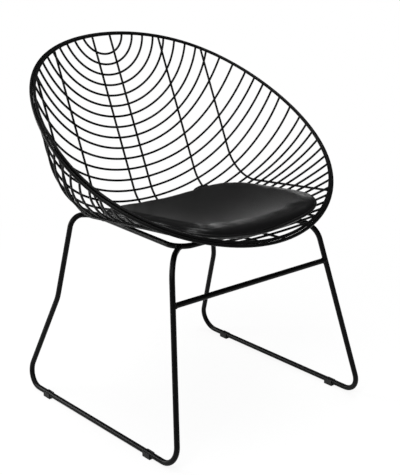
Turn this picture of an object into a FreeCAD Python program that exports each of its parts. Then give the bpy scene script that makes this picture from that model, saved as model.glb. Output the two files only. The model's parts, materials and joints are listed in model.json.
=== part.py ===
import FreeCAD, Part
import math
import os

from FreeCAD import Placement, Rotation, Vector

# Wire shell chair: two rim rods edge a mesh of welded wires, a bent rod base
# carries the shell, and a loose upholstered pad lies in the seat.
# X runs across the chair, -Y is the front, Z is up from the floor.

os.makedirs("parts", exist_ok=True)
doc = FreeCAD.newDocument("wire_shell_chair")

# Driving sizes in millimetres and degrees

SIZES = {
    # rim: a plane oval that rises from the front of the seat to the top of the back
    "rim_length": 694.7,
    "rim_width": 663.9,
    "rim_taper": 0.045,
    "rim_fullness": 0.054,
    "rim_swing": 0.072,
    "rim_slope": 30.5,
    "rim_bow": 2.1,
    "rim_centre_height": 616.45,
    "rim_rod_diameter": 7.0,
    "rim_rod_slit": 0.2,
    # mesh
    "mesh_wire_diameter": 5.0,
    "weld_bite": 0.5,
    "butt_bite": 1.0,
    "back_lean": 24.2,
    "seat_rise_centre": 4.1,
    "seat_rise_side": 5.9,
    "seat_bend_radius_centre": 79.0,
    "seat_bend_radius_side": 95.0,
    # long wires: places across the chair as shares of the rim's width
    "centre_wire_share": 0.0742,
    "middle_wire_share": 0.4453,
    "outer_wire_share": 0.7067,
    # cross wires: pitches down the centre line and along the rim
    "first_wire_drop": 47.6,
    "back_wire_pitch": 24.87,
    "last_wire_setback": 43.0,
    "first_rim_station": 55.2,
    "top_rim_pitch": 27.1,
    "shoulder_rim_pitch": 36.1,
    "side_rim_pitch": 26.8,
    "bend_rim_pitch": 37.1,
    "last_rim_setback": 128.0,
    # base rods
    "base_rod_diameter": 12.0,
    "foot_rail_spacing": 541.3,
    "rail_front_reach": 301.7,
    "rail_rear_reach": 259.1,
    "leg_splay": 9.26,
    "front_leg_rake": 13.3,
    "rear_leg_rake": 22.2,
    "rear_upper_rake": 6.9,
    "knee_height": 225.0,
    "knee_bend_radius": 70.0,
    "foot_bend_radius": 38.0,
    "leg_top_bend_radius": 58.0,
    "rear_top_bend_radius": 27.0,
    "rear_top_lift": 12.0,
    "support_rear_inset": 8.3,
    "support_front_outset": 1.8,
    "support_rear_y": 148.6,
    "support_front_y": -161.4,
    "support_corner_radius": 38.0,
    "support_joint_setback": 37.0,
    "cross_bar_height": 316.4,
    # glides under the rails
    "glide_length": 22.0,
    "glide_width": 15.0,
    "glide_sole": 4.0,
    "glide_cheek": 7.0,
    "glide_end_distance": 95.0,
    "glide_corner": 1.5,
    # seat pad
    "pad_width": 392.0,
    "pad_depth": 360.0,
    "pad_front_setback": 32.5,
    "pad_squareness": 4.8,
    "pad_edge_height": 18.0,
    "pad_crown": 15.0,
    "pad_edge_round": 16.0,
    "pad_end_round": 24.0,
    "pad_seam_height": 6.0,
    "pad_seam_tuck": 4.0,
    "pad_clearance": 0.9,
    "pad_cover_thickness": 1.5,
}

sheet = doc.addObject("Spreadsheet::Sheet", "Sizes")
for row, (alias, value) in enumerate(SIZES.items(), start=1):
    sheet.set("A%d" % row, alias)
    sheet.set("B%d" % row, str(value))
    sheet.setAlias("B%d" % row, alias)
doc.recompute()


def size(alias):
    return float(sheet.get(alias))


# Counts of the mesh: the wires are numbered from the top of the back

CROSS_WIRES = 32
ROUND_WIRES = 9
BACK_WIRES = 15
BEND_WIRES = 18
RIM_ZONES = [(9, "top_rim_pitch"), (12, "shoulder_rim_pitch"), (16, "side_rim_pitch"),
             (BEND_WIRES, "bend_rim_pitch")]
HALF_TURN = 180.0

wire_radius = size("mesh_wire_diameter") / 2
rim_radius = size("rim_rod_diameter") / 2
rod_radius = size("base_rod_diameter") / 2
weld_bite = size("weld_bite")
rail_height = rod_radius + size("glide_sole")


def tan(degrees):
    return math.tan(math.radians(degrees))


# Rim geometry. Station angle 0 is the top of the back, 180 the front of the seat.

slope = math.radians(size("rim_slope"))
RIM_FORWARD = Vector(0, -math.cos(slope), -math.sin(slope))
RIM_NORMAL = Vector(0, -math.sin(slope), math.cos(slope))
lean = math.radians(size("back_lean"))
BACK_DOWN = Vector(0, -math.sin(lean), -math.cos(lean))
BACK_INWARD = Vector(0, -math.cos(lean), math.sin(lean))

# The rim rods lie against each other, one inside the mesh surface and one outside
# it, so each is shifted both in the rim plane and across it.
rod_spacing = 2 * rim_radius + size("rim_rod_slit")
lift_share = (1 - BACK_INWARD.dot(RIM_FORWARD)) / BACK_INWARD.dot(RIM_NORMAL)
rod_gap = rod_spacing / 2 / math.hypot(1, lift_share)
rim_lift = rod_gap * lift_share
rim_bow = size("rim_bow")
rim_centre = Vector(0, -(rim_lift + rim_bow) * math.sin(slope), size("rim_centre_height"))


half_length = size("rim_length") / 2
half_width = size("rim_width") / 2
taper = size("rim_taper")
fullness = size("rim_fullness")
swing = size("rim_swing")


def oval(angle):
    """Oval of the rim seen square on: distance across and distance forward."""
    across = math.sin(math.radians(angle))
    back = math.cos(math.radians(angle))
    shape = 1 - taper * back + fullness * back ** 2 + swing * back ** 3
    return half_width * across * shape, -half_length * back


def rim_offset_point(angle, outward, lift):
    """Point of the rim's oval, moved outward in its plane and lifted off it."""
    step = 0.01
    x_after, along_after = oval(angle + step)
    x_before, along_before = oval(angle - step)
    length = math.hypot(x_after - x_before, along_after - along_before)
    x, along = oval(angle)
    x += (along_after - along_before) / length * outward
    along -= (x_after - x_before) / length * outward
    lift -= rim_bow * math.cos(math.radians(2 * angle))
    return rim_centre + Vector(x, 0, 0) + RIM_FORWARD * along + RIM_NORMAL * lift


def rim_point(angle):
    return rim_offset_point(angle, 0, 0)


SOLVE_STEPS = 40


def solve(function, low, high):
    """Root of a function that changes sign once between low and high."""
    low_sign = function(low) > 0
    for _ in range(SOLVE_STEPS):
        middle = (low + high) / 2
        if (function(middle) > 0) == low_sign:
            low = middle
        else:
            high = middle
    return (low + high) / 2


EIGHTH_TURN = HALF_TURN / 4
widest_angle = solve(lambda a: oval(a + 0.01)[0] - oval(a - 0.01)[0],
                     EIGHTH_TURN, 3 * EIGHTH_TURN)


def rim_angle_at_x(x, front):
    """Station angle at which the rim has this x, on its rear or front half."""
    if front:
        return solve(lambda a: oval(a)[0] - x, widest_angle, HALF_TURN)
    return solve(lambda a: oval(a)[0] - x, 0, widest_angle)


RIM_STEPS = 720
rim_lengths = [0.0]
for step in range(RIM_STEPS):
    span = rim_point((step + 1) * HALF_TURN / RIM_STEPS) - rim_point(step * HALF_TURN / RIM_STEPS)
    rim_lengths.append(rim_lengths[-1] + span.Length)


def rim_angle_at_station(distance):
    """Station angle at a distance along the rim from the top."""
    for step in range(RIM_STEPS):
        if rim_lengths[step + 1] >= distance:
            share = (distance - rim_lengths[step]) / (rim_lengths[step + 1] - rim_lengths[step])
            return (step + share) * HALF_TURN / RIM_STEPS
    return HALF_TURN


# Shell profile: at every x the mesh runs straight down the back, round one bend
# and straight along the seat to the front of the rim.

class Profile:
    def __init__(self, x, inset=0.0):
        x = abs(x)
        self.x = x
        share = min(x / (half_width * size("outer_wire_share")), 1.0)
        rise = size("seat_rise_centre")
        rise += (size("seat_rise_side") - size("seat_rise_centre")) * share
        rise = math.radians(rise)
        radius = size("seat_bend_radius_centre")
        radius += (size("seat_bend_radius_side") - size("seat_bend_radius_centre")) * share
        self.seat_run = Vector(0, -math.cos(rise), math.sin(rise))
        self.seat_up = Vector(0, math.sin(rise), math.cos(rise))
        self.top = rim_point(rim_angle_at_x(x, False)) + BACK_INWARD * inset
        self.front = rim_point(rim_angle_at_x(x, True)) + self.seat_up * inset
        gap = self.front - self.top
        # corner = top + BACK_DOWN * back = front - seat_run * seat
        cross = BACK_DOWN.y * self.seat_run.z - BACK_DOWN.z * self.seat_run.y
        back = (gap.y * self.seat_run.z - gap.z * self.seat_run.y) / cross
        seat = (BACK_DOWN.y * gap.z - BACK_DOWN.z * gap.y) / cross
        self.turn = BACK_DOWN.getAngle(self.seat_run)
        widest_cut = 0.8 * min(back, seat)
        cut = min((radius - inset) * math.tan(self.turn / 2), widest_cut)
        self.radius = cut / math.tan(self.turn / 2)
        self.back = back - cut
        self.seat = seat - cut
        self.bend_start = self.top + BACK_DOWN * self.back
        self.bend_end = self.front - self.seat_run * self.seat
        self.centre = self.bend_start + BACK_INWARD * self.radius
        self.length = self.back + self.radius * self.turn + self.seat

    def point(self, distance):
        """Point at a distance along the profile from the rear of the rim."""
        if distance <= self.back:
            return self.top + BACK_DOWN * distance
        angle = (distance - self.back) / self.radius
        if angle >= self.turn:
            return self.bend_end + self.seat_run * (distance - self.back - self.radius * self.turn)
        outward = BACK_INWARD * -math.cos(angle) + BACK_DOWN * math.sin(angle)
        return self.centre + outward * self.radius

    def at_y(self, y):
        """Height of the profile at this y, on the bend or the seat."""
        if y < self.bend_end.y:
            return self.bend_end.z + (self.bend_end.y - y) * self.seat_run.z / -self.seat_run.y
        if y > self.bend_start.y:
            return self.bend_start.z + (y - self.bend_start.y) * BACK_DOWN.z / BACK_DOWN.y
        return self.centre.z - math.sqrt(self.radius ** 2 - (y - self.centre.y) ** 2)

    def wire(self):
        """The whole profile as line, arc and line."""
        middle = self.point(self.back + self.radius * self.turn / 2)
        return Part.Wire([
            Part.LineSegment(self.top, self.bend_start).toShape(),
            Part.Arc(self.bend_start, middle, self.bend_end).toShape(),
            Part.LineSegment(self.bend_end, self.front).toShape(),
        ])


# Hollow of the back: how far a point lies from the centre line, measured round it

HOLLOW_STEP = 4.0
hollow = [(0.0, 0.0)]
top_of_back = rim_point(0)
previous = Vector(0, 0, 0)
while hollow[-1][0] + HOLLOW_STEP < size("rim_width") / 2:
    x = hollow[-1][0] + HOLLOW_STEP
    depth = (rim_point(rim_angle_at_x(x, False)) - top_of_back).dot(BACK_INWARD)
    here = Vector(x, depth, 0)
    hollow.append((x, hollow[-1][1] + (here - previous).Length))
    previous = here


def flat_width(x):
    """Distance from the centre line to x, measured round the hollow of the back."""
    index = min(int(abs(x) / HOLLOW_STEP), len(hollow) - 2)
    share = (abs(x) - hollow[index][0]) / HOLLOW_STEP
    return hollow[index][1] + share * (hollow[index + 1][1] - hollow[index][1])


# Path tools: arcs that meet without a kink

def mirrored(point):
    return Vector(-point.x, point.y, point.z)


def arc_edge(start, direction, end):
    """Arc from start, leaving along direction, to end."""
    chord = end - start
    length = chord.Length
    chord.normalize()
    bulge = direction - chord * direction.dot(chord)
    if bulge.Length < 1e-6:
        return Part.LineSegment(start, end).toShape()
    half_angle = direction.getAngle(chord)
    bulge.normalize()
    middle = (start + end) * 0.5 + bulge * (length / 2 * math.tan(half_angle / 2))
    return Part.Arc(start, middle, end).toShape()


def two_arcs(start, start_run, end, end_run):
    """Two arcs joined smoothly between two points with given directions."""
    chord = end - start
    square = chord.dot(chord)
    lead = chord.dot(start_run + end_run)
    spread = 2 * (1 - start_run.dot(end_run))
    reach = square / (lead + math.sqrt(lead ** 2 + spread * square))
    joint = (start + end) * 0.5 + (start_run - end_run) * (reach / 2)
    first = arc_edge(start, start_run, joint)
    last = arc_edge(end, end_run * -1, joint)
    return [first, last]


def smooth_wire(points, runs):
    edges = []
    for index in range(len(points) - 1):
        edges += two_arcs(points[index], runs[index], points[index + 1], runs[index + 1])
    return Part.Wire(Part.sortEdges(edges)[0])


def direction(curve, station, nudge):
    """Unit direction of a curve at a station."""
    run = curve(station + nudge) - curve(station - nudge)
    run.normalize()
    return run


def bent_rod_wire(corners, radii):
    """Straight runs between corners, each inner corner rounded to its radius."""
    edges = []
    start = corners[0]
    for index in range(1, len(corners) - 1):
        corner = corners[index]
        back = corners[index - 1] - corner
        ahead = corners[index + 1] - corner
        back.normalize()
        ahead.normalize()
        turn = math.pi - back.getAngle(ahead)
        cut = radii[index - 1] * math.tan(turn / 2)
        entry = corner + back * cut
        leave = corner + ahead * cut
        middle_way = back + ahead
        middle_way.normalize()
        centre = corner + middle_way * math.hypot(radii[index - 1], cut)
        middle = centre - middle_way * radii[index - 1]
        edges.append(Part.LineSegment(start, entry).toShape())
        edges.append(Part.Arc(entry, middle, leave).toShape())
        start = leave
    edges.append(Part.LineSegment(start, corners[-1]).toShape())
    return Part.Wire(edges)


def swept_rod(label, path, radius_expression):
    """Round rod along a path: a path, a circle bound to the sheet and a sweep."""
    spine = doc.addObject("Part::Feature", label + "_path")
    spine.Shape = path
    first = path.OrderedEdges[0]
    last = path.OrderedEdges[-1]
    at = first.valueAt(first.FirstParameter)
    run = first.tangentAt(first.FirstParameter)
    if first.Orientation == "Reversed":
        at = first.valueAt(first.LastParameter)
        run = first.tangentAt(first.LastParameter) * -1
    circle = doc.addObject("Part::Circle", label + "_profile")
    circle.setExpression("Radius", radius_expression)
    circle.Placement = Placement(at, Rotation(Vector(0, 0, 1), run))
    sweep = doc.addObject("Part::Sweep", label)
    sweep.Sections = [circle]
    sweep.Spine = (spine, [])
    sweep.Solid = True
    sweep.Transition = "Transformed"
    sweep.Label = label
    return sweep


def trimmed(label, base, tool):
    """The base piece with the space of another piece taken out of it."""
    cut = doc.addObject("Part::Cut", label)
    cut.Base = base
    cut.Tool = tool
    base.Label = label + "_untrimmed"
    cut.Label = label
    return cut


nodes = []

# Rim rods: one inside the mesh, one outside it, with the wire ends in their groove

RIM_KNOTS = 9
ANGLE_NUDGE = 0.01


def rim_rod(label, outward, lift):
    def curve(angle):
        return rim_offset_point(angle, outward, lift)

    halves = []
    for side, start in (("left", 0), ("right", HALF_TURN)):
        angles = [start + index * HALF_TURN / RIM_KNOTS for index in range(RIM_KNOTS + 1)]
        points = [curve(angle) for angle in angles]
        runs = [direction(curve, angle, ANGLE_NUDGE) for angle in angles]
        path = smooth_wire(points, runs)
        halves.append(swept_rod("%s_%s" % (label, side), path, "Sizes.rim_rod_diameter / 2"))
    ring = doc.addObject("Part::MultiFuse", label)
    ring.Shapes = halves
    ring.Label = label
    nodes.append(ring)
    return ring


rim_inner = rim_rod("rim_rod_inner", -rod_gap, rim_lift)
rim_outer = rim_rod("rim_rod_outer", rod_gap, -rim_lift)

# Long wires: six wires from the top of the rim to its front, outside the cross wires

def long_wire_profile(place):
    """Profile moved out so that the wire bears on the sloping cross wires."""
    x = half_width * size(place + "_wire_share")
    slant = flat_width(x + HOLLOW_STEP) - flat_width(x - HOLLOW_STEP)
    return Profile(x, (weld_bite - 2 * wire_radius) * slant / (2 * HOLLOW_STEP))


for place in ("centre", "middle", "outer"):
    profile = long_wire_profile(place)
    for side, sign in (("left", 1), ("right", -1)):
        path = profile.wire()
        if sign < 0:
            path = path.mirror(Vector(0, 0, 0), Vector(1, 0, 0))
        label = "long_wire_%s_%s" % (place, side)
        whole = swept_rod(label + "_whole", path, "Sizes.mesh_wire_diameter / 2")
        nodes.append(trimmed(label, whole, rim_outer))

# Cross wires: each runs from rim to rim through a point of the centre line.
# The upper ones are circles laid flat in the hollow of the back, the lower ones
# lie in a plane through the centre point and both rim ends.

centre_profile = Profile(0)


def zone_station(number):
    distance = size("first_rim_station")
    start = 1
    for last, pitch in RIM_ZONES:
        distance += max(0, min(number, last) - start) * size(pitch)
        start = last
    return distance


def rim_station(number):
    """Distance along the rim from its top to the end of a cross wire."""
    bend_station = zone_station(BEND_WIRES)
    seat_run = rim_lengths[-1] - size("last_rim_setback") - bend_station
    share = max(0, number - BEND_WIRES) / (CROSS_WIRES - BEND_WIRES)
    return zone_station(number) + seat_run * share


def centre_distance(number):
    """Distance down the centre line from the rim to a cross wire."""
    back_run = size("first_wire_drop") + (min(number, BACK_WIRES) - 1) * size("back_wire_pitch")
    back_end = size("first_wire_drop") + (BACK_WIRES - 1) * size("back_wire_pitch")
    seat_run = centre_profile.length - size("last_wire_setback") - back_end
    share = max(0, number - BACK_WIRES) / (CROSS_WIRES - BACK_WIRES)
    return back_run + seat_run * share


def cross_wire_curve(number):
    centre = centre_profile.point(centre_distance(number))
    end = rim_point(rim_angle_at_station(rim_station(number)))

    def down(point):
        return (point - top_of_back).dot(BACK_DOWN)

    def round_curve(x):
        drop = down(centre) - down(end)
        radius = (drop ** 2 + flat_width(end.x) ** 2) / (2 * drop)
        level = down(centre) - radius + math.sqrt(radius ** 2 - flat_width(x) ** 2)
        profile = Profile(x)
        point = profile.top + BACK_DOWN * (level - down(profile.top))
        return Vector(x, point.y, point.z)

    across = Vector(0, end.z - centre.z, centre.y - end.y)

    def plane_curve(x):
        profile = Profile(x)
        distance = solve(lambda d: (profile.point(d) - centre).dot(across), 0, profile.length)
        point = profile.point(distance)
        return Vector(x, point.y, point.z)

    if number <= ROUND_WIRES:
        return end.x, round_curve
    return end.x, plane_curve


KNOT_TURNS = [-67.5, -45, -22.5, 0, 22.5, 45, 67.5]
NUDGE = 0.1

# A wire's end face stops in the groove, where its edges meet both rim rods
groove_depth = math.sqrt(rim_radius ** 2 - (rod_spacing / 2 - wire_radius) ** 2)
end_setback = groove_depth - size("butt_bite")


def groove_end(number, before):
    """End of a cross wire in the groove of the rim, coming from the point before."""
    angle = rim_angle_at_station(rim_station(number))
    end = rim_point(angle)
    run = end - before
    run.normalize()
    slant = run.dot(direction(rim_point, angle, ANGLE_NUDGE))
    return end - run * (end_setback / math.sqrt(1 - slant ** 2))


for number in range(1, CROSS_WIRES + 1):
    reach, curve = cross_wire_curve(number)
    xs = [reach * math.sin(math.radians(turn)) for turn in KNOT_TURNS]
    points = [curve(x) for x in xs]
    runs = [direction(curve, x, NUDGE) for x in xs]
    end = groove_end(number, points[-1])
    edges = [arc_edge(points[0], runs[0] * -1, mirrored(end))]
    edges += smooth_wire(points, runs).Edges
    edges.append(arc_edge(points[-1], runs[-1], end))
    path = Part.Wire(Part.sortEdges(edges)[0])
    label = "cross_wire_%02d" % number
    nodes.append(swept_rod(label, path, "Sizes.mesh_wire_diameter / 2"))

# Support: a bent rod under the seat. Its sides touch the middle long wires where
# they are lowest, and its front run crosses under the centre long wires.

touch = rod_radius + wire_radius - weld_bite
middle_wire = long_wire_profile("middle")
centre_wire = long_wire_profile("centre")
rear_y = size("support_rear_y")
front_y = size("support_front_y")
rear_x = middle_wire.x - size("support_rear_inset")
front_x = middle_wire.x + size("support_front_outset")
lowest_y = middle_wire.centre.y
lowest_z = middle_wire.centre.z - middle_wire.radius
side_x = rear_x + (front_x - rear_x) * (rear_y - lowest_y) / (rear_y - front_y)
side_gap = middle_wire.x - side_x
side_z = lowest_z - math.sqrt(touch ** 2 - side_gap ** 2)
front_z = centre_wire.at_y(front_y) - touch / centre_wire.seat_up.z
rear_z = front_z + (side_z - front_z) * (rear_y - front_y) / (lowest_y - front_y)
support_corner = Vector(front_x, front_y, front_z)
support_rear = Vector(rear_x, rear_y, rear_z)
support_side = support_corner - support_rear
support_side.normalize()
joint = support_rear + support_side * size("support_joint_setback")

# Legs: one bent rod each side, from the front of the support down, along the
# floor, up behind and over into the side of the support

rail_x = size("foot_rail_spacing") / 2
inward = tan(size("leg_splay"))


def leg_x(height):
    return rail_x - inward * (height - rail_height)


def front_leg(height):
    y = -size("rail_front_reach") + tan(size("front_leg_rake")) * (height - rail_height)
    return Vector(leg_x(height), y, height)


knee_height = rail_height + size("knee_height")
knee_y = size("rail_rear_reach") - tan(size("rear_leg_rake")) * size("knee_height")
knee = Vector(leg_x(knee_height), knee_y, knee_height)


def rear_leg(height):
    y = knee.y - tan(size("rear_upper_rake")) * (height - knee.z)
    return Vector(leg_x(height), y, height)


corner_inset = size("support_corner_radius") * (1 - math.sqrt(0.5))
corner_middle = support_corner + Vector(-corner_inset, corner_inset, 0)
leg_run = corner_middle - front_leg(front_z)
leg_run.normalize()
leg_landing = corner_middle - leg_run * (rod_radius - size("butt_bite"))
leg_corners = [
    leg_landing,
    front_leg(front_z),
    front_leg(rail_height),
    Vector(rail_x, size("rail_rear_reach"), rail_height),
    knee,
    rear_leg(rear_z + size("rear_top_lift")),
    support_rear,
    joint,
]
leg_radii = [size("leg_top_bend_radius"), size("foot_bend_radius"), size("foot_bend_radius"),
             size("knee_bend_radius"), size("rear_top_bend_radius"), size("rear_top_bend_radius")]


support_corners = [joint, support_corner, mirrored(support_corner), mirrored(joint)]
support_path = bent_rod_wire(support_corners, [size("support_corner_radius")] * 2)
support = swept_rod("seat_support_rod", support_path, "Sizes.base_rod_diameter / 2")
nodes.append(support)

for side in ("left", "right"):
    corners = leg_corners if side == "left" else [mirrored(c) for c in leg_corners]
    path = bent_rod_wire(corners, leg_radii)
    nodes.append(swept_rod("leg_frame_" + side, path, "Sizes.base_rod_diameter / 2"))

# Cross bar between the front legs, butted against their inner sides

bar_at = front_leg(rail_height + size("cross_bar_height"))
bar_reach = bar_at.x - (rod_radius - size("butt_bite")) / math.cos(math.radians(size("leg_splay")))
bar_end = Vector(-bar_reach, bar_at.y, bar_at.z)
bar = doc.addObject("Part::Cylinder", "cross_bar")
bar.Label = "cross_bar"
bar.setExpression("Radius", "Sizes.base_rod_diameter / 2")
bar.Height = 2 * bar_reach
bar.Placement = Placement(bar_end, Rotation(Vector(0, 0, 1), Vector(1, 0, 0)))
nodes.append(bar)


# Glides: a plastic saddle snapped up over the rail, with a flat sole

def glide(label, x, y):
    body = doc.addObject("PartDesign::Body", label)
    body.Label = label
    plane = [f for f in body.Origin.OriginFeatures if f.Role == "XZ_Plane"][0]
    sketch = body.newObject("Sketcher::SketchObject", label + "_section")
    sketch.AttachmentSupport = (plane, "")
    sketch.MapMode = "FlatFace"
    half = size("glide_width") / 2
    top = rail_height + size("glide_cheek") / 2
    mouth = math.sqrt(rod_radius ** 2 - (top - rail_height) ** 2)
    corner = size("glide_corner")
    points = [Vector(-half + corner, 0, 0), Vector(half - corner, 0, 0), Vector(half, corner, 0),
              Vector(half, top, 0), Vector(mouth, top, 0)]
    for start, end in zip(points, points[1:]):
        sketch.addGeometry(Part.LineSegment(start, end), False)
    sketch.addGeometry(Part.Arc(Vector(mouth, top, 0), Vector(0, rail_height - rod_radius, 0),
                                Vector(-mouth, top, 0)), False)
    mirror = [Vector(-mouth, top, 0), Vector(-half, top, 0), Vector(-half, corner, 0),
              Vector(-half + corner, 0, 0)]
    for start, end in zip(mirror, mirror[1:]):
        sketch.addGeometry(Part.LineSegment(start, end), False)
    doc.recompute()
    pad = body.newObject("PartDesign::Pad", label + "_block")
    pad.Profile = sketch
    pad.setExpression("Length", "Sizes.glide_length")
    pad.Midplane = True
    body.Placement = Placement(Vector(x, y, 0), Rotation())
    return body


for end, y in (("front", size("glide_end_distance") - size("rail_front_reach")),
               ("rear", size("rail_rear_reach") - size("glide_end_distance"))):
    for side, x in (("left", rail_x), ("right", -rail_x)):
        nodes.append(glide("glide_%s_%s" % (end, side), x, y))

# Seat pad: lofted through upright sections from rear to front. Its underside
# follows the hollow of the mesh, its top is crowned and its edge drawn in.

pad_half_depth = size("pad_depth") / 2
pad_centre_y = centre_profile.front.y + size("pad_front_setback") + pad_half_depth
pad_lift = wire_radius + size("pad_clearance")
PAD_SHARES = [-0.985, -0.955, -0.9, -0.8, -0.5, 0.0, 0.5, 0.8, 0.9, 0.955, 0.985]


def pad_half_width(share):
    power = size("pad_squareness")
    return size("pad_width") / 2 * (1 - abs(share) ** power) ** (1 / power)


def pad_section(share, skin):
    """Closed section of the pad at a share of its half depth; skin is peeled off."""
    y = pad_centre_y + share * (pad_half_depth - skin)
    half = pad_half_width(share) - skin
    edge_share = min((1 - abs(share)) * pad_half_depth / size("pad_end_round"), 1)
    fall = math.sqrt(1 - (1 - edge_share) ** 2)
    height = size("pad_seam_height") + (size("pad_edge_height") - size("pad_seam_height")) * fall
    round_over = size("pad_edge_round") * fall
    tuck = size("pad_seam_tuck")
    low_x = half - tuck
    low_middle = Profile(0, pad_lift).at_y(y) + skin
    low_side = Profile(low_x, pad_lift).at_y(y) + skin
    edge = Profile(half, pad_lift).at_y(y)
    seam = Vector(half, y, edge + size("pad_seam_height"))
    shoulder = Vector(half - round_over, y, edge + height - skin)
    crown = Vector(0, y, low_middle + height + size("pad_crown") * fall - 2 * skin)
    diagonal = round_over * (1 - math.sqrt(0.5))
    rise = shoulder.z - seam.z
    bulge = Vector(half - diagonal, y, seam.z + rise * math.sqrt(0.5))
    low = Vector(low_x, y, low_side)
    return Part.Wire([
        Part.Arc(mirrored(low), Vector(0, y, low_middle), low).toShape(),
        Part.LineSegment(low, seam).toShape(),
        Part.Arc(seam, bulge, shoulder).toShape(),
        Part.Arc(shoulder, crown, mirrored(shoulder)).toShape(),
        Part.Arc(mirrored(shoulder), mirrored(bulge), mirrored(seam)).toShape(),
        Part.LineSegment(mirrored(seam), mirrored(low)).toShape(),
    ])


def pad_loft(label, skin):
    sections = []
    for index, share in enumerate(PAD_SHARES):
        section = doc.addObject("Part::Feature", "%s_section_%d" % (label, index))
        section.Shape = pad_section(share, skin)
        sections.append(section)
    loft = doc.addObject("Part::Loft", label)
    loft.Sections = sections
    loft.Solid = True
    loft.Ruled = False
    loft.Label = label
    return loft


foam = pad_loft("pad_foam_core", size("pad_cover_thickness"))
cover_outside = pad_loft("pad_cover_whole", 0.0)
nodes.append(foam)
nodes.append(trimmed("pad_cover", cover_outside, foam))

doc.recompute()

# Every object must be sound before any file is written

for item in doc.Objects:
    if "Invalid" in item.State or "Error" in item.State:
        raise RuntimeError("%s failed: %s" % (item.Label, item.State))

for node in nodes:
    shape = node.Shape
    if shape.isNull() or not shape.isValid() or len(shape.Solids) != 1:
        raise RuntimeError("%s is not one sound solid" % node.Label)
    shape.exportStep("parts/%s.step" % node.Label)

print("%d pieces written" % len(nodes))
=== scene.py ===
import json
import math

import bmesh
import bpy
import numpy as np
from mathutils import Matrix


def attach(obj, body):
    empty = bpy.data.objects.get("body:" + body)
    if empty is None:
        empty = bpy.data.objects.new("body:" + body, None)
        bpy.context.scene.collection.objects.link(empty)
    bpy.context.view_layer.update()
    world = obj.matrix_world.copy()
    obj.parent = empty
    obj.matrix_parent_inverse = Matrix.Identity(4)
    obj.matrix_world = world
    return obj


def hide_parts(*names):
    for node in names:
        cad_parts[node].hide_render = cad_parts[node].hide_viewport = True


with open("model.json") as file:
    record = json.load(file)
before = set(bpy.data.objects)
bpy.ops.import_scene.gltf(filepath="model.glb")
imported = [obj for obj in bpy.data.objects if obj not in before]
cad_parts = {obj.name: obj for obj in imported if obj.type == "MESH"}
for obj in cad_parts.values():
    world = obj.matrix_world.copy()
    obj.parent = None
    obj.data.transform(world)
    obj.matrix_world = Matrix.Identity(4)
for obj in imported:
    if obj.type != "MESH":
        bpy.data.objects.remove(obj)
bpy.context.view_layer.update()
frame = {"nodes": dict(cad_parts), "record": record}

# Steel: shell wires, rims, legs, seat support and cross bar.
# Round wire and rod, bent cold and welded, then powder coated black in one go.
# The coat is satin, with a fine orange peel and a little dust.


class Signal:
    """A number that varies over a surface. Arithmetic on it adds Math nodes."""

    def __init__(self, socket):
        self.socket = socket

    def _maths(self, operation, first, second):
        tree = self.socket.id_data
        node = tree.nodes.new("ShaderNodeMath")
        node.operation = operation
        for place, value in zip(node.inputs, (first, second)):
            if isinstance(value, Signal):
                tree.links.new(value.socket, place)
            else:
                place.default_value = value
        return Signal(node.outputs[0])

    def __add__(self, other):
        return self._maths("ADD", self, other)

    def __radd__(self, other):
        return self._maths("ADD", other, self)

    def __sub__(self, other):
        return self._maths("SUBTRACT", self, other)

    def __rsub__(self, other):
        return self._maths("SUBTRACT", other, self)

    def __mul__(self, other):
        return self._maths("MULTIPLY", self, other)

    def __rmul__(self, other):
        return self._maths("MULTIPLY", other, self)


class Finish:
    """A material built round one Principled shader.

    Its constants stand for the whole surface wherever links aren't followed.
    """

    def __init__(self, name, **constants):
        self.material = bpy.data.materials.new(name)
        self.material.use_nodes = True
        self.tree = self.material.node_tree
        self.shader = self.tree.nodes["Principled BSDF"]
        for socket, value in constants.items():
            self.shader.inputs[socket.replace("_", " ")].default_value = value
        self.material.diffuse_color = self.shader.inputs["Base Color"].default_value[:]

    def node(self, kind, settings=None, sockets=None, output=0):
        """Any node: its settings are set first, then its sockets' values or links."""
        node = self.tree.nodes.new("ShaderNode" + kind)
        for setting, value in (settings or {}).items():
            setattr(node, setting, value)
        for socket, value in (sockets or {}).items():
            if isinstance(value, Signal):
                self.tree.links.new(value.socket, node.inputs[socket])
            else:
                node.inputs[socket].default_value = value
        return Signal(node.outputs[output])

    def place(self):
        """Where a point of the surface is, in metres."""
        return self.node("TexCoord", {}, {}, "Object")

    def noise(self, scale, detail, roughness=0.5):
        """Cloudy noise, with scale clouds to a metre."""
        return self.node("TexNoise", {}, {"Vector": self.place(), "Scale": scale,
                                          "Detail": detail, "Roughness": roughness})

    def spread(self, signal, low, high, start=0.0, end=1.0):
        """Low where the signal is at its start, high at its end, and even between."""
        return self.node("MapRange", {}, {"Value": signal, "From Min": start, "From Max": end,
                                          "To Min": low, "To Max": high})

    def feed(self, socket, signal):
        self.tree.links.new(signal.socket, self.shader.inputs[socket])

    def tint(self, share, first, second):
        """Base colour from the first, at share 0, to the second, at share 1.

        The Mix node's sockets go by number, because their names repeat.
        """
        self.feed("Base Color", self.node("Mix", {"data_type": "RGBA"}, {
            0: share, 6: first, 7: second}, 2))

    def bump(self, height, strength, distance):
        self.feed("Normal", self.node("Bump", {}, {
            "Height": height, "Strength": strength, "Distance": distance}))


COAT_BARE = (0.001, 0.001, 0.0011, 1)
COAT_DUSTY = (0.003, 0.003, 0.0032, 1)


def coat_finish():
    """Satin black powder coat: orange peel in the bump, dust in colour and gloss."""
    coat = Finish("black_powder_coat", Base_Color=(0.002, 0.002, 0.0021, 1), Roughness=0.4,
                  Specular_IOR_Level=0.09)
    peel = coat.noise(scale=900.0, detail=3.0)
    dust = coat.noise(scale=14.0, detail=6.0, roughness=0.65)
    coat.tint(coat.spread(dust, -0.4, 0.5), COAT_BARE, COAT_DUSTY)
    coat.feed("Roughness", coat.spread(dust, 0.34, 0.5))
    coat.bump(peel, strength=0.18, distance=0.0002)
    return coat.material


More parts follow.
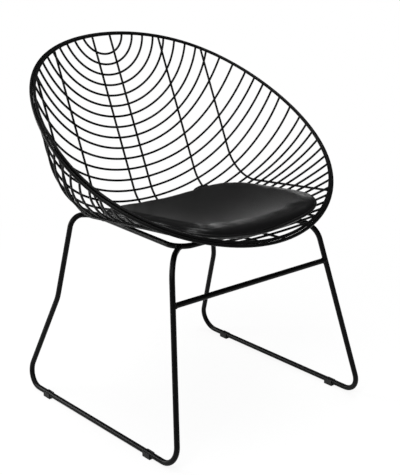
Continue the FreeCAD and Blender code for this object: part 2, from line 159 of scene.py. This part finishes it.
def paint(obj, material):
    obj.data.materials.clear()
    obj.data.materials.append(material)


def paint_slot(slot, material):
    """Paints every CAD node of one material slot."""
    for subpart in frame["record"]["subparts"]:
        if subpart["material_slot"] == slot:
            paint(frame["nodes"][subpart["node"]], material)


powder_coat = coat_finish()
paint_slot("black_rod", powder_coat)


def surface_piece(name, grids, material, body, loop=False):
    """One mesh from grids of points, rows x columns x 3.

    The last column meets the first, and so does the last row of a loop.
    """
    points = []
    faces = []
    start = 0
    for grid in grids:
        rows, columns = grid.shape[:2]
        points.append(grid.reshape(-1, 3))
        index = np.arange(rows * columns).reshape(rows, columns) + start
        if loop:
            index = np.concatenate([index, index[:1]])
        turned = np.roll(index, -1, axis=1)
        faces.append(np.stack([index[:-1], turned[:-1], turned[1:], index[1:]], -1).reshape(-1, 4))
        start += rows * columns
    mesh = bpy.data.meshes.new(name)
    mesh.from_pydata(np.concatenate(points).tolist(), [], np.concatenate(faces).tolist())
    mesh.shade_smooth()
    mesh.update()
    piece = bpy.data.objects.new(name, mesh)
    bpy.context.scene.collection.objects.link(piece)
    paint(piece, material)
    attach(piece, body)
    return piece


# Welds of the 12 mm rods. At a tee a rod's end meets another rod's side, and at a butt
# joint two ends meet. A weld's edges lie a little inside the rod's skin, and a tee's
# root bites into the other rod.
ROD_RADIUS = 0.006
EDGE_SHARE = 0.995
WELD_SWELL = 0.0013
SWELL_POWER = 0.7
RIPPLES = 15
RIPPLE_DEPTH = 0.12
TEE_REACH = 0.0085
TEE_WIDTH_SHARE = 0.97
TEE_BITE = 0.0006
BUTT_REACH = 0.0026
COLLAR_SIDES = 48
COLLAR_ROWS = 9

FRONT_WELD = (0.13849, -0.15027, 0.41594)
FRONT_LEG_RUN = (0.06595, -0.05543, 0.0)
SUPPORT_RUN = (0.707, 0.707, 0.0)
REAR_WELD = (0.14072, 0.11162, 0.41601)
REAR_RUN = (-0.0326, 1.0, 0.0)
BAR_WELD = (0.21906, -0.22691, 0.3264)
BAR_RUN = (-1.0, 0.0, 0.0)
LEG_RUN = (-0.163, 0.2364, 1.0)
UPWARDS = (0, 0, 1)


def weld_collar(joint, along, across, reach, tee):
    """Fillet weld round a rod's end: a ring round the rod, swelling between its edges.

    Round angle a and share t, from one edge to the other:
    ripple = 1 + depth * sin(15 a) * sin(pi t),
    radius = rod radius * edge share + swell * sin(pi t) ** power * ripple,
    distance out = from the other rod's skin at a tee, or from -reach, to the reach.
    """
    along = np.array(along) / np.linalg.norm(along)
    across = np.array(across) - along * np.dot(across, along)
    across = across / np.linalg.norm(across)
    third = np.cross(along, across)
    angle = np.linspace(0, 2 * math.pi, COLLAR_SIDES, endpoint=False)[None, :]
    share = np.linspace(0, 1, COLLAR_ROWS)[:, None]
    ripple = 1 + RIPPLE_DEPTH * np.sin(angle * RIPPLES) * np.sin(math.pi * share)
    swell = WELD_SWELL * np.sin(math.pi * share) ** SWELL_POWER * ripple
    radius = ROD_RADIUS * EDGE_SHARE + swell
    if tee:
        aside = TEE_WIDTH_SHARE * ROD_RADIUS * np.sin(angle)
        inner = np.sqrt(ROD_RADIUS ** 2 - aside ** 2) - TEE_BITE
    else:
        inner = -reach + 0 * angle
    out = inner + (reach - inner) * share
    ring = across * np.cos(angle)[..., None] + third * np.sin(angle)[..., None]
    return np.array(joint) + along * out[..., None] + ring * radius[..., None]


def collar_pair(*weld):
    """The collar of a joint on the left and its mirror twin on the right."""
    left = weld_collar(*weld)
    right = (left * (-1, 1, 1))[:, ::-1]
    return [left, right]


collars = collar_pair(FRONT_WELD, FRONT_LEG_RUN, SUPPORT_RUN, TEE_REACH, True)
collars += collar_pair(REAR_WELD, REAR_RUN, UPWARDS, BUTT_REACH, False)
collars += collar_pair(BAR_WELD, BAR_RUN, LEG_RUN, TEE_REACH, True)
surface_piece("rod_welds", collars, powder_coat, "frame")

# Glides: four saddles under the floor rails.
# Moulded black nylon, snapped up over the rod; the mould leaves a fine spark grain
# and the sole is rubbed a little duller and greyer by the floor.

NYLON_CLEAN = (0.008, 0.008, 0.008, 1)
NYLON_RUBBED = (0.035, 0.034, 0.033, 1)
RUBBED_HEIGHT = 0.003


def nylon_finish():
    """Moulded nylon: spark grain in the bump, the lowest millimetres greyer and duller."""
    nylon = Finish("glide_nylon", Base_Color=NYLON_CLEAN, Roughness=0.6, Specular_IOR_Level=0.2)
    grain = nylon.noise(scale=1600.0, detail=2.0)
    height = nylon.node("SeparateXYZ", {}, {"Vector": nylon.place()}, "Z")
    worn = nylon.spread(height, 0.0, 1.0, start=RUBBED_HEIGHT, end=0.0)
    nylon.tint(worn * 0.8, NYLON_CLEAN, NYLON_RUBBED)
    nylon.feed("Roughness", 0.55 + worn * 0.2)
    nylon.bump(grain, strength=0.25, distance=0.0002)
    return nylon.material


paint_slot("glide_plastic", nylon_finish())

# Seat pad.
# Foam in a black leatherette cover: a top panel with a rolled edge and a narrow
# boxing below it, sewn together over a piping cord, lying loose in the shell.

PAD_VOXEL = 0.005
JOIN_DISTANCE = 1e-5
PAD_PRESSURE = 4.0
PAD_FRAMES = 20
PAD_SWELL = 0.0030
PAD_SAG = 0.0005
NO_SHIFT = 1e-9
PAD_EVENING = 6


def settle(piece):
    """Applies a piece's modifiers as they stand."""
    shaped = piece.evaluated_get(bpy.context.evaluated_depsgraph_get())
    mesh = bpy.data.meshes.new_from_object(shaped)
    piece.modifiers.clear()
    piece.data = mesh


def raised_copy(name, source):
    """A new object with the joined, evenly meshed surface of a CAD solid."""
    solid = bmesh.new()
    solid.from_mesh(source.data)
    bmesh.ops.remove_doubles(solid, verts=solid.verts, dist=JOIN_DISTANCE)
    mesh = bpy.data.meshes.new(name)
    solid.to_mesh(mesh)
    solid.free()
    piece = bpy.data.objects.new(name, mesh)
    bpy.context.scene.collection.objects.link(piece)
    even = piece.modifiers.new("even", "REMESH")
    even.mode = "VOXEL"
    even.voxel_size = PAD_VOXEL
    settle(piece)
    return piece


def points_of(piece):
    """A piece's vertices, as rows of x, y, z."""
    flat = np.zeros(len(piece.data.vertices) * 3)
    piece.data.vertices.foreach_get("co", flat)
    return flat.reshape(-1, 3)


def inflate(piece, pressure, frames):
    """Cloth under air pressure, with no gravity, let out for some frames."""
    cloth = piece.modifiers.new("cloth", "CLOTH")
    cloth.settings.quality = 6
    cloth.settings.mass = 0.4
    cloth.settings.tension_stiffness = 25
    cloth.settings.compression_stiffness = 25
    cloth.settings.bending_stiffness = 4
    cloth.settings.use_pressure = True
    cloth.settings.uniform_pressure_force = pressure
    cloth.settings.effector_weights.gravity = 0
    cloth.point_cache.frame_start = 1
    cloth.point_cache.frame_end = frames
    for step in range(1, frames + 1):
        bpy.context.scene.frame_set(step)
    settle(piece)
    bpy.context.scene.frame_set(1)


def held_back(shift):
    """The cloth's shifts, none longer than the swell, or than the sag where it sinks."""
    length = np.linalg.norm(shift, axis=1, keepdims=True)
    room = np.where(shift[:, 2:] < 0, PAD_SAG, PAD_SWELL)
    return shift * np.minimum(1, room / np.maximum(length, NO_SHIFT))


pad = raised_copy("seat_pad", frame["nodes"]["pad_foam_core"])
flat_pad = points_of(pad)
inflate(pad, PAD_PRESSURE, PAD_FRAMES)
swollen_pad = flat_pad + held_back(points_of(pad) - flat_pad)
pad.data.vertices.foreach_set("co", swollen_pad.ravel())
evened = pad.modifiers.new("evened", "SMOOTH")
evened.factor = 0.5
evened.iterations = PAD_EVENING
settle(pad)

pad_low, pad_high = flat_pad.min(axis=0), flat_pad.max(axis=0)
pad_middle = (pad_low + pad_high) / 2
pad_half = (pad_high - pad_low) / 2
SQUARENESS = 4.8
SLICES = 72
SLOW_WAVES = 14
AROUND = 288
PIPING_RADIUS = 0.0033
CORD_SIDES = 12


def seam_line(points):
    """Widest line round the pad: in each slice of angle, where the plan reach is most.

    In plan it is |x / half| ** n + |y / half| ** n = 1, with n the squareness. Its
    height is smoothed by keeping only its slow waves round the edge.
    """
    flat = (points[:, :2] - pad_middle[:2]) / pad_half[:2]
    reach = (np.abs(flat) ** SQUARENESS).sum(axis=1) ** (1 / SQUARENESS)
    turn = np.arctan2(flat[:, 1], flat[:, 0])
    slice_of = np.floor((turn + math.pi) / (2 * math.pi) * SLICES).astype(int) % SLICES
    order = np.lexsort((reach, slice_of))
    last = np.searchsorted(slice_of[order], np.arange(SLICES), side="right") - 1
    waves = np.fft.rfft(points[order[last], 2])
    waves[SLOW_WAVES:] = 0
    finer = np.zeros(AROUND // 2 + 1 - len(waves))
    height = np.fft.irfft(np.concatenate([waves * AROUND / SLICES, finer]), AROUND)
    half_slice = AROUND // SLICES // 2
    angle = (np.arange(AROUND) + half_slice) * 2 * math.pi / AROUND - math.pi
    ray = np.stack([np.cos(angle), np.sin(angle)], axis=1)
    ray /= (np.abs(ray) ** SQUARENESS).sum(axis=1, keepdims=True) ** (1 / SQUARENESS)
    return np.concatenate([pad_middle[:2] + ray * pad_half[:2], height[:, None]], axis=1)


def cord_loop(line, radius):
    """A round cord along a closed line: radius * (cos b outwards + sin b upwards)."""
    ahead = np.roll(line, -1, axis=0) - np.roll(line, 1, axis=0)
    ahead /= np.linalg.norm(ahead, axis=1, keepdims=True)
    out = np.cross(ahead, UPWARDS)
    out /= np.linalg.norm(out, axis=1, keepdims=True)
    up = np.cross(out, ahead)
    turn = np.linspace(0, 2 * math.pi, CORD_SIDES, endpoint=False)[None, :, None]
    return line[:, None] + radius * (np.cos(turn) * out[:, None] + np.sin(turn) * up[:, None])


LEATHERETTE_DARK = (0.0035, 0.0035, 0.0037, 1)
LEATHERETTE_LIGHT = (0.0055, 0.0055, 0.0057, 1)


def leatherette_finish():
    """Black leatherette: pebble grain over soft creases, gloss worn a little uneven."""
    skin = Finish("black_leatherette", Base_Color=(0.004, 0.004, 0.0042, 1), Roughness=0.32,
                  Specular_IOR_Level=0.22)
    pebble = skin.node("TexVoronoi", {"feature": "SMOOTH_F1"}, {
        "Vector": skin.place(), "Scale": 1100.0, "Smoothness": 0.6})
    crease = skin.noise(scale=55.0, detail=4.0)
    cloud = skin.noise(scale=9.0, detail=3.0)
    skin.tint(cloud, LEATHERETTE_DARK, LEATHERETTE_LIGHT)
    skin.feed("Roughness", skin.spread(cloud, 0.28, 0.36))
    skin.bump(pebble * 0.6 + crease * 0.8, strength=0.25, distance=0.0006)
    return skin.material


leatherette = leatherette_finish()
paint(pad, leatherette)
pad.data.shade_smooth()
rounded = pad.modifiers.new("rounded", "SUBSURF")
rounded.levels = rounded.render_levels = 1
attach(pad, "seat_pad")
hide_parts("pad_cover", "pad_foam_core")

piping = cord_loop(seam_line(flat_pad), PIPING_RADIUS)
surface_piece("pad_piping", [piping], leatherette, "seat_pad", loop=True)

# Camera.
# A long lens from the front and the sitter's right, a little above the seat. It looks
# down by its dip and is swung round from the y axis, both in degrees.

CAMERA_DIP = 17.959
CAMERA_SWING = -40.483

camera_data = bpy.data.cameras.new("camera")
camera_data.sensor_fit = "HORIZONTAL"
camera_data.sensor_width = 36.0
camera_data.lens = 102.28
camera_data.clip_end = 60.0
camera = bpy.data.objects.new("camera", camera_data)
camera.location = (-1.5473, -1.8662, 1.1546)
camera.rotation_euler = (math.radians(90 - CAMERA_DIP), 0.0, math.radians(CAMERA_SWING))
bpy.context.scene.collection.objects.link(camera)
bpy.context.scene.camera = camera

# Floor and light.
# A white sweep that keeps a faint shadow near the chair and is plain white further out,
# two wide soft lamps above, and two low ones behind that give the pad its sheen.

SWEEP_HALF = 9
SHADE_RADIUS = 0.5
PLAIN_RADIUS = 1.4
NEAR_PLAINNESS = 0.88

bpy.context.scene.view_settings.view_transform = "Standard"

corners = [(-SWEEP_HALF, -SWEEP_HALF, 0), (SWEEP_HALF, -SWEEP_HALF, 0),
           (SWEEP_HALF, SWEEP_HALF, 0), (-SWEEP_HALF, SWEEP_HALF, 0)]
sweep_mesh = bpy.data.meshes.new("studio_floor")
sweep_mesh.from_pydata(corners, [], [(0, 1, 2, 3)])
sweep = bpy.data.objects.new("studio_floor", sweep_mesh)
bpy.context.scene.collection.objects.link(sweep)
white = Finish("white_sweep", Base_Color=(0.85, 0.85, 0.85, 1), Roughness=0.9,
               Specular_IOR_Level=0.0)
camera_ray = white.node("LightPath", {}, {}, "Is Camera Ray")
reach = white.node("VectorMath", {"operation": "LENGTH"}, {0: white.place()}, 1)
plain = white.spread(reach, NEAR_PLAINNESS, 1.0, start=SHADE_RADIUS, end=PLAIN_RADIUS)
glow = white.node("Emission", {}, {"Color": (1, 1, 1, 1), "Strength": 1.0})
mixed = white.node("MixShader", {}, {
    0: camera_ray * plain, 1: Signal(white.shader.outputs[0]), 2: glow})
white.tree.links.new(mixed.socket, white.tree.nodes["Material Output"].inputs["Surface"])
paint(sweep, white.material)

# The world is full white to the camera, about half as bright to matt surfaces and
# nearly dark in reflections.
WORLD_LIGHT = 0.45
SEEN_EXTRA = 0.55
GLOSS_LOSS = 0.38

world = bpy.data.worlds.new("studio")
bpy.context.scene.world = world
world.use_nodes = True
tree = world.node_tree
background = tree.nodes["Background"]
background.inputs["Color"].default_value = (1, 1, 1, 1)
path = tree.nodes.new("ShaderNodeLightPath")
seen = Signal(path.outputs["Is Camera Ray"]) + Signal(path.outputs["Is Transmission Ray"])
reflected = Signal(path.outputs["Is Glossy Ray"])
strength = WORLD_LIGHT + SEEN_EXTRA * seen - GLOSS_LOSS * reflected
tree.links.new(strength.socket, background.inputs["Strength"])

CHAIR_MIDDLE = (0, 0, 0.4)


def soft_lamp(name, place, aim, width, power):
    """Square area lamp at a place, turned towards a point."""
    data = bpy.data.lights.new(name, "AREA")
    data.shape = "SQUARE"
    data.size = width
    data.energy = power
    lamp = bpy.data.objects.new(name, data)
    lamp.location = place
    run = np.array(aim) - np.array(place)
    flat = math.hypot(run[0], run[1])
    lamp.rotation_euler = (math.atan2(flat, -run[2]), 0, math.atan2(run[1], run[0]) - math.pi / 2)
    bpy.context.scene.collection.objects.link(lamp)


soft_lamp("key_lamp", (-2.2, -1.6, 3.0), CHAIR_MIDDLE, width=1.6, power=70)
soft_lamp("top_lamp", (0.4, -0.2, 3.2), CHAIR_MIDDLE, width=1.6, power=40)
soft_lamp("right_lamp", (1.85, 1.3, 1.0), (0.12, -0.1, 0.45), width=0.6, power=3.2)
soft_lamp("left_lamp", (-1.1, 1.5, 0.9), (-0.15, 0, 0.45), width=0.9, power=30)
